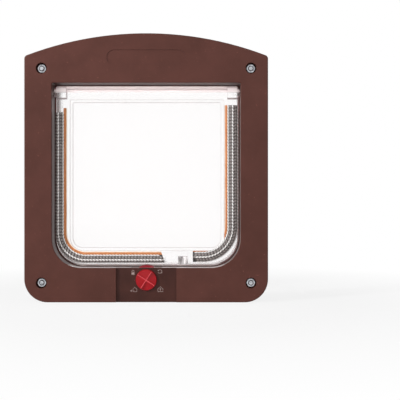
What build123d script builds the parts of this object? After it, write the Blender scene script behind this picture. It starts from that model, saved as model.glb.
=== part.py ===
from build123d import *

import math
import os

# Cat flap with a clear swinging door and a four way turning lock, fitted through a door leaf.
# X runs across the flap, Y runs through the door from the room side to the outside, Z is up.
# The origin is the middle of the footprint. Every depth is measured from the room side face.

# Frames
frame_width = 250.0
frame_height = 276.0
arch_radius = 345.0
bottom_corner_radius = 24.0
top_corner_radius = 4.0
plate_depth = 11.0
face_wall = 2.4
skirt_wall = 2.2
face_edge_round = 1.2
opening_edge_round = 0.8
side_rail = 28.2
top_rail = 50.8
opening_bottom = 35.4
opening_corner_radius = 30.0
opening_top_radius = 1.5
tunnel_wall = 2.2
tunnel_end_gap = 1.0
tunnel_overlap = 7.5
exterior_tunnel_wall = 1.75
tunnel_clearance = 0.25
tunnel_lead = 4.0
tunnel_lead_rise = 1.1
door_thickness = 24.0
rib_thickness = 1.6
rib_setback = 2.0
side_rib_pitch = 38.0
side_rib_count = 4
top_rib_pitch = 30.0
top_rib_count = 6
bottom_rib_pitch = 18.0
bottom_rib_offset = 42.0
bottom_rib_count = 3

# Blank recess on the top rail
badge_length = 81.0
badge_height = 15.6
badge_depth = 0.6
badge_drop = 24.8

# Screw holes and fasteners
hole_side_margin = 17.5
hole_low_height = 19.9
hole_top_margin = 35.8
counterbore_diameter = 11.3
seat_flange = 3.0
bolt_boss_wall = 1.9
bolt_diameter = 5.0
bolt_length = 35.0
bolt_point = 0.5
bolt_hole_clearance = 0.2
head_diameter = 8.5
head_height = 3.3
head_round = 0.8
cross_slot_length = 4.6
cross_slot_width = 1.0
cross_slot_depth = 1.8
nut_across_flats = 8.0
nut_height = 4.0
cap_diameter = 13.4
cap_height = 2.0
cap_edge_round = 0.4
cap_taper = 9.0
cap_plug_length = 2.6
cap_plug_wall = 1.2
cap_plug_clearance = 0.15

# Clear flap and its hinge
flap_side_gap = 2.7
flap_bottom_gap = 3.0
flap_top_gap = 1.8
flap_thickness = 2.4
flap_corner_radius = 27.2
right_seal_corner_radius = 37.0
flap_top_radius = 1.5
flap_edge_round = 0.5
hinge_depth = 14.5
hinge_drop = 8.9
beam_diameter = 4.2
knuckle_width = 10.5
knuckle_height = 13.0
knuckle_thickness = 8.4
knuckle_round = 3.0
hub_diameter = 9.0
hub_gap = 0.8
pin_diameter = 5.0
pin_reach = 3.0
pin_clearance = 0.08
pin_lead = 0.6
groove_depth = 1.1
socket_wall = 3.0
socket_floor = 1.4
rim_inset = 14.0
rim_width = 3.2
rim_rise = 1.2
rim_edge_round = 0.4

# Pile seal, measured inward from the edge of the flap
left_seal_edge = 0.2
right_seal_edge = 1.0
seal_lift = 1.0
seal_rim_gap = 0.3
outer_pile_width = 2.5
fin_width = 1.5
inner_pile_width = 3.3
stitch_width = 1.5
tape_margin = 2.8
tape_thickness = 0.5
backing_thickness = 0.5
pile_height = 2.0
fin_height = 2.9
left_pile_drop = 20.3
left_tape_drop = 15.8
right_seal_drop = 12.8
left_seal_end = 15.0
right_seal_end = 46.5
seal_end_slant = 4.0

# Magnets
magnet_centre = 37.5
magnet_width = 10.0
magnet_thickness = 3.0
flap_magnet_height = 8.0
floor_magnet_height = 3.0
magnet_clearance = 0.15
magnet_wall = 1.2
holder_margin = 6.8

# Lock
panel_width = 62.0
panel_recess = 2.8
lock_drop = 12.4
dial_diameter = 22.0
dial_height = 5.0
dial_taper = 12.0
dial_gap = 0.2
dial_peak_drop = 0.5
dial_slope_drop = 2.6
dial_edge_round = 0.3
ridge_width = 0.9
ridge_root = 0.6
dial_turn = 12.0
shaft_diameter = 9.0
shaft_flat = 7.4
shaft_step = 1.0
shaft_clearance = 0.08
key_clearance = 0.05
cam_thickness = 2.6
cam_low_rise = 2.3
cam_high_rise = 6.1
cam_lobe_half_angle = 26.0
cam_gap = 0.3
rear_cam_gap = 1.2
slot_gap = 0.35
slot_side_gap = 0.6
spacer_wall = 1.4
lock_screw_diameter = 3.0
lock_screw_length = 8.0
lock_screw_head = 11.0
lock_screw_head_height = 1.6
screw_shaft_clearance = 0.05
screw_tip_gap = 0.6
screw_head_round = 0.6
cover_gap = 0.7
cover_wall = 1.4
cover_ear_width = 8.0
cover_ear_thickness = 2.0
cover_screw_offset = 27.5
cover_screw_diameter = 2.6
cover_screw_length = 6.0
cover_screw_head = 5.0
cover_screw_head_height = 1.6
cover_boss_diameter = 6.6

# Worked out from the sizes above
dial_proud = dial_height + dial_gap - panel_recess
frames_depth = plate_depth + door_thickness + plate_depth
overall_depth = dial_proud + frames_depth + cap_height
face_y = dial_proud - overall_depth / 2
opening_width = frame_width - 2 * side_rail
opening_top = frame_height - top_rail
badge_centre_height = frame_height - badge_drop
hole_half_spacing = frame_width / 2 - hole_side_margin
hole_high_height = frame_height - hole_top_margin
exterior_inset = tunnel_clearance + exterior_tunnel_wall
counterbore_depth = plate_depth - seat_flange
bolt_boss_diameter = counterbore_diameter + 2 * bolt_boss_wall
hinge_height = opening_top - hinge_drop
left_pile_top = hinge_height - left_pile_drop
left_tape_top = hinge_height - left_tape_drop
right_seal_top = hinge_height - right_seal_drop
lock_height = opening_bottom - lock_drop
cam_low_radius = lock_drop + cam_low_rise
cam_high_radius = lock_drop + cam_high_rise
flap_half_width = opening_width / 2 - flap_side_gap
flap_bottom = opening_bottom + flap_bottom_gap
flap_top = opening_top - flap_top_gap
flap_front_depth = hinge_depth - flap_thickness / 2
flap_back_depth = hinge_depth + flap_thickness / 2
hub_end = opening_width / 2 - hub_gap
pin_end = opening_width / 2 + pin_reach
socket_radius = pin_diameter / 2 + pin_clearance + socket_wall
socket_end = pin_end + socket_floor
fin_inset = outer_pile_width
pile_inner_inset = outer_pile_width + fin_width + inner_pile_width
backing_inner_inset = pile_inner_inset + stitch_width
tape_inner_inset = backing_inner_inset + tape_margin
pile_front_depth = flap_front_depth - tape_thickness - backing_thickness
panel_back_depth = panel_recess + face_wall
front_cam_depth = panel_back_depth + cam_gap
front_cam_back = front_cam_depth + cam_thickness
rear_cam_depth = flap_back_depth + rear_cam_gap
rear_cam_back = rear_cam_depth + cam_thickness
exterior_tunnel_end = rear_cam_back + tunnel_end_gap
exterior_tunnel_depth = frames_depth - exterior_tunnel_end
interior_tunnel_depth = exterior_tunnel_end + tunnel_overlap
tunnel_lead_angle = math.degrees(math.atan(tunnel_lead_rise / tunnel_lead))
shaft_rear_diameter = shaft_diameter - 2 * shaft_step
shaft_rear_flat = shaft_flat - 2 * shaft_step
cover_inner_radius = cam_high_radius + cover_gap
cover_outer_radius = cover_inner_radius + cover_wall
cover_back_depth = rear_cam_back + lock_screw_head_height + cam_gap + cover_wall
holder_front_depth = flap_front_depth - tape_thickness - backing_thickness - pile_height
hole_points = [
    (side * hole_half_spacing, height)
    for side in (-1, 1)
    for height in (hole_low_height, hole_high_height)
]
cover_screw_points = [(side * cover_screw_offset, lock_height) for side in (-1, 1)]
hole_names = ["left_lower", "left_upper", "right_lower", "right_upper"]

os.makedirs("parts", exist_ok=True)


def at_depth(depth):
    """Plane parallel to the room side face, at a depth behind it, with Z up."""
    return Plane.XZ.offset(-(face_y + depth))


def finish(part, name):
    """Label a finished piece and write it."""
    part.label = name
    export_step(part, f"parts/{name}.step")


def frame_outline(inset):
    """Arched outline of a frame, drawn in from its edge by the inset."""
    with BuildSketch() as outline:
        with Locations((0, frame_height / 2)):
            Rectangle(frame_width, frame_height)
        with Locations((0, frame_height - arch_radius)):
            Circle(arch_radius, mode=Mode.INTERSECT)
        corners = outline.vertices().group_by(Axis.Y)
        fillet(corners[0], bottom_corner_radius)
        shoulders = outline.vertices().group_by(Axis.Y)[-1]
        fillet(shoulders, top_corner_radius)
        if inset > 0:
            offset(amount=-inset, kind=Kind.INTERSECTION, mode=Mode.REPLACE)
    return outline.sketch


def rounded_panel(width, bottom, top, low_radius, high_radius):
    """Upright rectangle with its own radius for the lower and the upper corners."""
    with BuildSketch() as panel:
        with Locations((0, (bottom + top) / 2)):
            Rectangle(width, top - bottom)
        fillet(panel.vertices().group_by(Axis.Y)[0], low_radius)
        fillet(panel.vertices().group_by(Axis.Y)[-1], high_radius)
    return panel.sketch


def opening_outline(grow):
    """Outline of the tunnel, grown outward from the room side opening."""
    return rounded_panel(
        opening_width + 2 * grow,
        opening_bottom - grow,
        opening_top + grow,
        opening_corner_radius + grow,
        opening_top_radius,
    )


def flap_outline(inset):
    """Outline of the flap, drawn in from its edge by the inset."""
    return rounded_panel(
        2 * (flap_half_width - inset),
        flap_bottom + inset,
        flap_top - inset,
        flap_corner_radius - inset,
        flap_top_radius,
    )


def rib_lines():
    """Stiffening ribs that join the skirt of a frame to its tunnel."""
    side_middle = (opening_bottom + opening_top) / 2
    rail_middle = frame_width / 4 + opening_width / 4
    rail_width = (frame_width - opening_width) / 2
    with BuildSketch() as ribs:
        with Locations((0, side_middle)):
            with GridLocations(2 * rail_middle, side_rib_pitch, 2, side_rib_count):
                Rectangle(rail_width, rib_thickness)
        with Locations((0, (opening_top + frame_height) / 2)):
            with GridLocations(top_rib_pitch, 1, top_rib_count, 1):
                Rectangle(rib_thickness, frame_height - opening_top)
        for side in (-1, 1):
            for index in range(bottom_rib_count):
                place = bottom_rib_offset + index * bottom_rib_pitch
                with Locations((side * place, opening_bottom / 2)):
                    Rectangle(rib_thickness, opening_bottom)
        add(frame_outline(skirt_wall / 2), mode=Mode.INTERSECT)
    return ribs.sketch


def cam_profile(lobes):
    """Round cam with raised lobes, each given by its start and end angle."""
    with BuildSketch() as profile:
        Circle(cam_low_radius)
        for start, end in lobes:
            sweep_angle = end - start
            with BuildLine():
                rim = CenterArc((0, 0), cam_high_radius, start, sweep_angle)
                Line((0, 0), rim @ 0)
                Line(rim @ 1, (0, 0))
            make_face()
    return profile.sketch


def double_flat(diameter, across, grow):
    """Round shaft section with two flats, grown by a clearance."""
    with BuildSketch() as section:
        Circle(diameter / 2 + grow)
        Rectangle(2 * diameter, across + 2 * grow, mode=Mode.INTERSECT)
    return section.sketch


def seal_outline(inset, corner_radius):
    """Outline of the flap, lifted at the bottom by the bare strip of clear plastic below the seal."""
    return rounded_panel(
        2 * (flap_half_width - inset),
        flap_bottom + seal_lift + inset,
        flap_top - inset,
        corner_radius - inset,
        flap_top_radius,
    )


def seal_band(start_inset, end_inset, side, corner_radius, top, end):
    """Band along one side and the bottom of the flap, trimmed along the rim, with a slanted cut end."""
    with BuildSketch() as band:
        add(seal_outline(start_inset, corner_radius))
        add(seal_outline(end_inset, corner_radius), mode=Mode.SUBTRACT)
        add(flap_outline(rim_inset - seal_rim_gap), mode=Mode.SUBTRACT)
        with BuildLine():
            Polyline(
                (side * frame_width, flap_bottom),
                (side * frame_width, top),
                (end, top),
                (end, flap_bottom + seal_lift + right_seal_edge + tape_inner_inset),
                (end + seal_end_slant, flap_bottom),
                (side * frame_width, flap_bottom),
            )
        make_face(mode=Mode.INTERSECT)
    return band.sketch


# Room side frame: hollow moulded plate, tunnel, hinge sockets, lock panel and floor magnet cup
with BuildPart() as interior_frame:
    with BuildSketch(at_depth(0)):
        add(frame_outline(0))
    extrude(amount=-plate_depth)
    front_edges = interior_frame.faces().sort_by(Axis.Y)[0].edges()
    fillet(front_edges, face_edge_round)
    with BuildSketch(at_depth(face_wall)):
        add(frame_outline(skirt_wall))
    extrude(amount=-(plate_depth - face_wall), mode=Mode.SUBTRACT)
    with BuildSketch(at_depth(face_wall)):
        add(rib_lines())
    extrude(amount=-(plate_depth - face_wall - rib_setback))
    with BuildSketch(at_depth(face_wall)):
        with Locations(*hole_points):
            Circle(bolt_boss_diameter / 2)
    extrude(amount=-(plate_depth - face_wall))
    with BuildSketch(at_depth(face_wall / 2)):
        with Locations((0, opening_bottom / 2)):
            Rectangle(panel_width + 2 * face_wall, opening_bottom)
        add(frame_outline(skirt_wall / 2), mode=Mode.INTERSECT)
    extrude(amount=-(panel_back_depth - face_wall / 2))
    with BuildSketch(at_depth(panel_recess)):
        with Locations(*cover_screw_points):
            Circle(cover_boss_diameter / 2)
    extrude(amount=-(plate_depth - panel_recess))
    with BuildSketch(at_depth(face_wall / 2)):
        add(opening_outline(tunnel_wall))
    extrude(amount=-(interior_tunnel_depth - face_wall / 2))
    socket_plane = Plane.YZ.offset(-socket_end)
    with BuildSketch(socket_plane):
        with Locations((face_y + hinge_depth, hinge_height)):
            Circle(socket_radius)
    extrude(amount=2 * socket_end)
    magnet_cup_width = magnet_width + 2 * (magnet_clearance + magnet_wall)
    magnet_cup_depth = magnet_thickness + 2 * (magnet_clearance + magnet_wall)
    magnet_cup_height = floor_magnet_height + magnet_wall
    with BuildSketch(Plane.XY.offset(opening_bottom - magnet_cup_height)):
        with Locations((magnet_centre, face_y + hinge_depth)):
            Rectangle(magnet_cup_width, magnet_cup_depth)
    extrude(amount=magnet_cup_height)
    with BuildSketch(at_depth(0)):
        add(opening_outline(0))
    extrude(amount=-interior_tunnel_depth, mode=Mode.SUBTRACT)
    fillet(interior_frame.faces().sort_by(Axis.Y)[0].inner_wires()[0].edges(), opening_edge_round)
    groove_length = interior_tunnel_depth - hinge_depth
    with BuildSketch(Plane.YZ.offset(-(opening_width / 2 + groove_depth))):
        with Locations((face_y + hinge_depth + groove_length / 2, hinge_height)):
            Rectangle(groove_length, pin_diameter + 2 * pin_clearance)
    extrude(amount=opening_width + 2 * groove_depth, mode=Mode.SUBTRACT)
    with BuildSketch(Plane.XY.offset(opening_bottom - floor_magnet_height)):
        with Locations((magnet_centre, face_y + hinge_depth)):
            Rectangle(magnet_width + 2 * magnet_clearance, magnet_thickness + 2 * magnet_clearance)
    extrude(amount=floor_magnet_height, mode=Mode.SUBTRACT)
    with BuildSketch(Plane.YZ.offset(-(pin_end + pin_clearance))):
        with Locations((face_y + hinge_depth, hinge_height)):
            Circle(pin_diameter / 2 + pin_clearance)
    extrude(amount=2 * (pin_end + pin_clearance), mode=Mode.SUBTRACT)
    with BuildSketch(at_depth(0)):
        with Locations((0, opening_bottom / 2)):
            Rectangle(panel_width, opening_bottom)
    extrude(amount=-panel_recess, mode=Mode.SUBTRACT)
    with BuildSketch(at_depth(0)):
        with Locations((0, badge_centre_height)):
            SlotOverall(badge_length, badge_height)
    extrude(amount=-badge_depth, mode=Mode.SUBTRACT)
    with BuildSketch(at_depth(0)):
        with Locations(*hole_points):
            Circle(counterbore_diameter / 2)
    extrude(amount=-counterbore_depth, mode=Mode.SUBTRACT)
    with BuildSketch(at_depth(0)):
        with Locations(*hole_points):
            Circle(bolt_diameter / 2 + bolt_hole_clearance)
        with Locations((0, lock_height)):
            Circle(shaft_diameter / 2 + shaft_clearance)
    extrude(amount=-plate_depth, mode=Mode.SUBTRACT)
    floor_underside = opening_bottom - tunnel_wall
    slot_half_width = math.sqrt(cam_high_radius**2 - (floor_underside - lock_height) ** 2) + slot_side_gap
    slot_depths = [front_cam_depth, rear_cam_depth]
    for slot_depth in slot_depths:
        with BuildSketch(Plane.XY.offset(floor_underside - tunnel_wall)):
            with Locations((0, face_y + slot_depth + cam_thickness / 2)):
                Rectangle(2 * slot_half_width, cam_thickness + 2 * slot_gap)
        extrude(amount=3 * tunnel_wall, mode=Mode.SUBTRACT)
    with BuildSketch(at_depth(plate_depth)):
        with Locations(*cover_screw_points):
            Circle(cover_screw_diameter / 2 + screw_shaft_clearance)
    extrude(amount=cover_screw_length - cover_ear_thickness + screw_tip_gap, mode=Mode.SUBTRACT)
finish(interior_frame.part, "interior_frame")

# Outside frame: the same plate turned round, with a tunnel that slides inside the first one
with BuildPart() as exterior_frame:
    with BuildSketch(at_depth(frames_depth)):
        add(frame_outline(0))
    extrude(amount=plate_depth)
    back_edges = exterior_frame.faces().sort_by(Axis.Y)[-1].edges()
    fillet(back_edges, face_edge_round)
    with BuildSketch(at_depth(frames_depth - face_wall)):
        add(frame_outline(skirt_wall))
    extrude(amount=plate_depth - face_wall, mode=Mode.SUBTRACT)
    with BuildSketch(at_depth(frames_depth - face_wall)):
        add(rib_lines())
    extrude(amount=plate_depth - face_wall - rib_setback)
    with BuildSketch(at_depth(frames_depth - face_wall)):
        with Locations(*hole_points):
            Circle(bolt_boss_diameter / 2)
    extrude(amount=plate_depth - face_wall)
    with BuildSketch(at_depth(frames_depth - face_wall / 2)):
        add(opening_outline(-tunnel_clearance))
    extrude(amount=exterior_tunnel_depth - face_wall / 2)
    with BuildSketch(at_depth(frames_depth)):
        add(opening_outline(-exterior_inset))
    extrude(amount=exterior_tunnel_depth, mode=Mode.SUBTRACT)
    with BuildSketch(at_depth(exterior_tunnel_end)):
        add(opening_outline(tunnel_lead_rise - exterior_inset))
    extrude(amount=-tunnel_lead, taper=tunnel_lead_angle, mode=Mode.SUBTRACT)
    fillet(exterior_frame.faces().sort_by(Axis.Y)[-1].inner_wires()[0].edges(), opening_edge_round)
    with BuildSketch(at_depth(frames_depth)):
        with Locations((0, badge_centre_height)):
            SlotOverall(badge_length, badge_height)
    extrude(amount=badge_depth, mode=Mode.SUBTRACT)
    with BuildSketch(at_depth(frames_depth)):
        with Locations(*hole_points):
            Circle(counterbore_diameter / 2)
    extrude(amount=counterbore_depth, mode=Mode.SUBTRACT)
    with BuildSketch(at_depth(frames_depth)):
        with Locations(*hole_points):
            Circle(bolt_diameter / 2 + bolt_hole_clearance)
    extrude(amount=plate_depth, mode=Mode.SUBTRACT)
finish(exterior_frame.part, "exterior_frame")

# Clear flap: pane, raised rim, hinge beam, knuckles with hubs and pins, and the magnet holder
with BuildPart() as flap_panel:
    with BuildSketch(at_depth(flap_front_depth)):
        add(flap_outline(0))
    extrude(amount=-flap_thickness)
    pane_faces = flap_panel.faces().filter_by(Axis.Y)
    fillet(pane_faces.edges(), flap_edge_round)
    with BuildSketch(at_depth(flap_front_depth - rim_rise)):
        add(flap_outline(rim_inset))
        add(flap_outline(rim_inset + rim_width), mode=Mode.SUBTRACT)
        with Locations((0, hinge_height)):
            Rectangle(opening_width, knuckle_height, mode=Mode.SUBTRACT)
    extrude(amount=-(flap_thickness + 2 * rim_rise))
    rim_faces = flap_panel.faces().filter_by(Axis.Y).group_by(Axis.Y)
    fillet(rim_faces[0].edges() + rim_faces[-1].edges(), rim_edge_round)
    beam_height = flap_top - beam_diameter / 2
    with BuildSketch(Plane.YZ.offset(-flap_half_width + knuckle_width / 2)):
        with Locations((face_y + hinge_depth, beam_height)):
            Circle(beam_diameter / 2)
    extrude(amount=2 * flap_half_width - knuckle_width)
    for side in (-1, 1):
        with BuildSketch(Plane.YZ.offset(side * flap_half_width)):
            with Locations((face_y + hinge_depth, hinge_height)):
                RectangleRounded(knuckle_thickness, knuckle_height, knuckle_round)
        extrude(amount=-side * knuckle_width)
    with BuildSketch(Plane.YZ.offset(-hub_end)):
        with Locations((face_y + hinge_depth, hinge_height)):
            Circle(hub_diameter / 2)
    extrude(amount=hub_end - flap_half_width + knuckle_width / 2)
    with BuildSketch(Plane.YZ.offset(hub_end)):
        with Locations((face_y + hinge_depth, hinge_height)):
            Circle(hub_diameter / 2)
    extrude(amount=-(hub_end - flap_half_width + knuckle_width / 2))
    with BuildSketch(Plane.YZ.offset(-pin_end)):
        with Locations((face_y + hinge_depth, hinge_height)):
            Circle(pin_diameter / 2)
    extrude(amount=pin_end - hub_end + hub_gap)
    with BuildSketch(Plane.YZ.offset(pin_end)):
        with Locations((face_y + hinge_depth, hinge_height)):
            Circle(pin_diameter / 2)
    extrude(amount=-(pin_end - hub_end + hub_gap))
    pin_ends = flap_panel.faces().filter_by(Axis.X).group_by(Axis.X)
    chamfer(pin_ends[0].edges() + pin_ends[-1].edges(), pin_lead)
    holder_width = magnet_width + 2 * holder_margin
    holder_height = seal_lift + right_seal_edge + tape_inner_inset
    with BuildSketch(at_depth(holder_front_depth)):
        with Locations((magnet_centre - holder_margin / 2, flap_bottom + holder_height / 2)):
            Rectangle(holder_width - holder_margin, holder_height)
    extrude(amount=-(flap_front_depth - holder_front_depth))
    magnet_front_depth = (holder_front_depth + flap_back_depth - magnet_thickness) / 2
    with BuildSketch(at_depth(magnet_front_depth - magnet_clearance)):
        with Locations((magnet_centre, flap_bottom + flap_magnet_height / 2)):
            Rectangle(magnet_width + 2 * magnet_clearance, flap_magnet_height + 2 * magnet_clearance)
    extrude(amount=-(magnet_thickness + 2 * magnet_clearance), mode=Mode.SUBTRACT)
finish(flap_panel.part, "flap_panel")

# Pile seal on each side: adhesive tape, two rows of pile on a woven backing, and a film fin
for name, side, edge, radius, pile_top, tape_top, end in (
    ("left", -1, left_seal_edge, flap_corner_radius, left_pile_top, left_tape_top, left_seal_end),
    ("right", 1, right_seal_edge, right_seal_corner_radius, right_seal_top, right_seal_top, right_seal_end),
):
    with BuildPart() as tape:
        with BuildSketch(at_depth(flap_front_depth - tape_thickness)):
            add(seal_band(edge, edge + tape_inner_inset, side, radius, pile_top, end))
            add(seal_band(edge + backing_inner_inset, edge + tape_inner_inset, side, radius, tape_top, end))
        extrude(amount=-tape_thickness)
    finish(tape.part, f"{name}_seal_tape")
    with BuildPart() as pile:
        with BuildSketch(at_depth(pile_front_depth)):
            add(seal_band(edge, edge + backing_inner_inset, side, radius, pile_top, end))
        extrude(amount=-backing_thickness)
        with BuildSketch(at_depth(pile_front_depth - pile_height)):
            add(seal_band(edge, edge + fin_inset, side, radius, pile_top, end))
            add(seal_band(edge + fin_inset + fin_width, edge + pile_inner_inset, side, radius, pile_top, end))
        extrude(amount=-pile_height)
    finish(pile.part, f"{name}_seal_pile")
    with BuildPart() as fin:
        with BuildSketch(at_depth(pile_front_depth - fin_height)):
            add(seal_band(edge + fin_inset, edge + fin_inset + fin_width, side, radius, pile_top, end))
        extrude(amount=-fin_height)
    finish(fin.part, f"{name}_seal_fin")

# Bar magnets, one in the flap and one in the floor of the tunnel
with BuildPart() as flap_magnet:
    with BuildSketch(at_depth(magnet_front_depth)):
        with Locations((magnet_centre, flap_bottom + flap_magnet_height / 2)):
            Rectangle(magnet_width, flap_magnet_height)
    extrude(amount=-magnet_thickness)
finish(flap_magnet.part, "flap_magnet")

with BuildPart() as threshold_magnet:
    with BuildSketch(Plane.XY.offset(opening_bottom - floor_magnet_height)):
        with Locations((magnet_centre, face_y + hinge_depth)):
            Rectangle(magnet_width, magnet_thickness)
    extrude(amount=floor_magnet_height)
finish(threshold_magnet.part, "threshold_magnet")

# Lock dial: tapered knob with crossed grip ridges over a face that slopes to the rim, on a flatted shaft
with BuildPart() as lock_dial:
    dial_seat = panel_recess - dial_gap
    dial_front = dial_seat - dial_height
    with BuildSketch(at_depth(dial_seat)):
        with Locations((0, lock_height)):
            Circle(dial_diameter / 2)
    extrude(amount=dial_height, taper=dial_taper)
    dial_top_radius = dial_diameter / 2 - dial_height * math.tan(math.radians(dial_taper))
    with BuildSketch(Plane.YZ) as slope:
        with BuildLine():
            Polyline(
                (face_y + dial_front - dial_peak_drop, lock_height),
                (face_y + dial_front + dial_peak_drop, lock_height),
                (face_y + dial_front + dial_slope_drop, lock_height + dial_diameter / 2),
                (face_y + dial_front - dial_peak_drop, lock_height + dial_diameter / 2),
                close=True,
            )
        make_face()
    dial_axis = Axis((0, 0, lock_height), (0, 1, 0))
    revolve(axis=dial_axis, mode=Mode.SUBTRACT)
    fillet(lock_dial.edges().filter_by(GeomType.CIRCLE).sort_by(Axis.Y)[0], dial_edge_round)
    with BuildSketch(at_depth(dial_front)):
        with Locations((0, lock_height)):
            with PolarLocations(0, 2, start_angle=45 + dial_turn, angular_range=180):
                Rectangle(2 * dial_top_radius, ridge_width)
    extrude(amount=-(dial_slope_drop + ridge_root))
    with BuildSketch(at_depth(dial_seat)):
        with Locations((0, lock_height)):
            Circle(shaft_diameter / 2)
    extrude(amount=-(front_cam_depth - dial_seat))
    with BuildSketch(at_depth(front_cam_depth)):
        with Locations(Location((0, lock_height, 0), dial_turn)):
            add(double_flat(shaft_diameter, shaft_flat, 0))
    extrude(amount=-(rear_cam_depth - front_cam_depth))
    with BuildSketch(at_depth(rear_cam_depth)):
        with Locations(Location((0, lock_height, 0), dial_turn)):
            add(double_flat(shaft_rear_diameter, shaft_rear_flat, 0))
    extrude(amount=-(cam_thickness - key_clearance))
    with BuildSketch(at_depth(rear_cam_back - lock_screw_length - screw_tip_gap)):
        with Locations((0, lock_height)):
            Circle(lock_screw_diameter / 2 + screw_shaft_clearance)
    extrude(amount=-(lock_screw_length + screw_tip_gap), mode=Mode.SUBTRACT)
finish(lock_dial.part, "lock_dial")

# Front cam keeps the flap from swinging in, rear cam keeps it from swinging out
right_lobe_angle = dial_turn
bottom_lobe_angle = dial_turn - 90
left_lobe_angle = dial_turn + 180
with BuildPart() as front_cam:
    with BuildSketch(at_depth(front_cam_depth)):
        with Locations((0, lock_height)):
            add(
                cam_profile(
                    [(bottom_lobe_angle - cam_lobe_half_angle, right_lobe_angle + cam_lobe_half_angle)]
                )
            )
        with Locations(Location((0, lock_height, 0), dial_turn)):
            add(double_flat(shaft_diameter, shaft_flat, key_clearance), mode=Mode.SUBTRACT)
    extrude(amount=-cam_thickness)
finish(front_cam.part, "front_cam")

with BuildPart() as rear_cam:
    with BuildSketch(at_depth(rear_cam_depth)):
        with Locations((0, lock_height)):
            add(
                cam_profile(
                    [
                        (right_lobe_angle - cam_lobe_half_angle, right_lobe_angle + cam_lobe_half_angle),
                        (left_lobe_angle - cam_lobe_half_angle, left_lobe_angle + cam_lobe_half_angle),
                    ]
                )
            )
        with Locations(Location((0, lock_height, 0), dial_turn)):
            add(double_flat(shaft_rear_diameter, shaft_rear_flat, key_clearance), mode=Mode.SUBTRACT)
    extrude(amount=-cam_thickness)
finish(rear_cam.part, "rear_cam")

with BuildPart() as cam_spacer:
    with BuildSketch(at_depth(front_cam_back)):
        with Locations((0, lock_height)):
            Circle(shaft_diameter / 2 + shaft_clearance + spacer_wall)
            Circle(shaft_diameter / 2 + shaft_clearance, mode=Mode.SUBTRACT)
    extrude(amount=-(rear_cam_depth - front_cam_back))
finish(cam_spacer.part, "cam_spacer")

with BuildPart() as lock_screw:
    with BuildSketch(at_depth(rear_cam_back)):
        with Locations((0, lock_height)):
            Circle(lock_screw_head / 2)
    extrude(amount=-lock_screw_head_height)
    fillet(lock_screw.faces().sort_by(Axis.Y)[-1].edges(), screw_head_round)
    with BuildSketch(at_depth(rear_cam_back)):
        with Locations((0, lock_height)):
            Circle(lock_screw_diameter / 2)
    extrude(amount=lock_screw_length)
finish(lock_screw.part, "lock_screw")

# Cover cup over the lock, behind the plate and below the tunnel, with two screw ears
cover_top = opening_bottom - tunnel_wall - cam_gap
with BuildPart() as lock_cover:
    with BuildSketch(at_depth(plate_depth)):
        with Locations((0, lock_height)):
            Circle(cover_outer_radius)
        with Locations((0, lock_height)):
            Rectangle(2 * cover_screw_offset + cover_ear_width, cover_ear_width)
        with Locations((0, cover_top / 2)):
            Rectangle(frame_width, cover_top, mode=Mode.INTERSECT)
    extrude(amount=-cover_ear_thickness)
    with BuildSketch(at_depth(plate_depth)):
        with Locations((0, lock_height)):
            Circle(cover_outer_radius)
        with Locations((0, cover_top / 2)):
            Rectangle(frame_width, cover_top, mode=Mode.INTERSECT)
    extrude(amount=-(cover_back_depth - plate_depth))
    with BuildSketch(at_depth(plate_depth)):
        with Locations((0, lock_height)):
            Circle(cover_inner_radius)
    extrude(amount=-(cover_back_depth - cover_wall - plate_depth), mode=Mode.SUBTRACT)
    with BuildSketch(at_depth(plate_depth)):
        with Locations(*cover_screw_points):
            Circle(cover_screw_diameter / 2 + screw_shaft_clearance)
    extrude(amount=-cover_ear_thickness, mode=Mode.SUBTRACT)
finish(lock_cover.part, "lock_cover")

for name, place in zip(["left", "right"], cover_screw_points):
    with BuildPart() as cover_screw:
        with BuildSketch(at_depth(plate_depth + cover_ear_thickness)):
            with Locations(place):
                Circle(cover_screw_head / 2)
        extrude(amount=-cover_screw_head_height)
        fillet(cover_screw.faces().sort_by(Axis.Y)[-1].edges(), screw_head_round)
        with BuildSketch(at_depth(plate_depth + cover_ear_thickness)):
            with Locations(place):
                Circle(cover_screw_diameter / 2)
        extrude(amount=cover_screw_length)
    finish(cover_screw.part, f"cover_screw_{name}")

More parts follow.
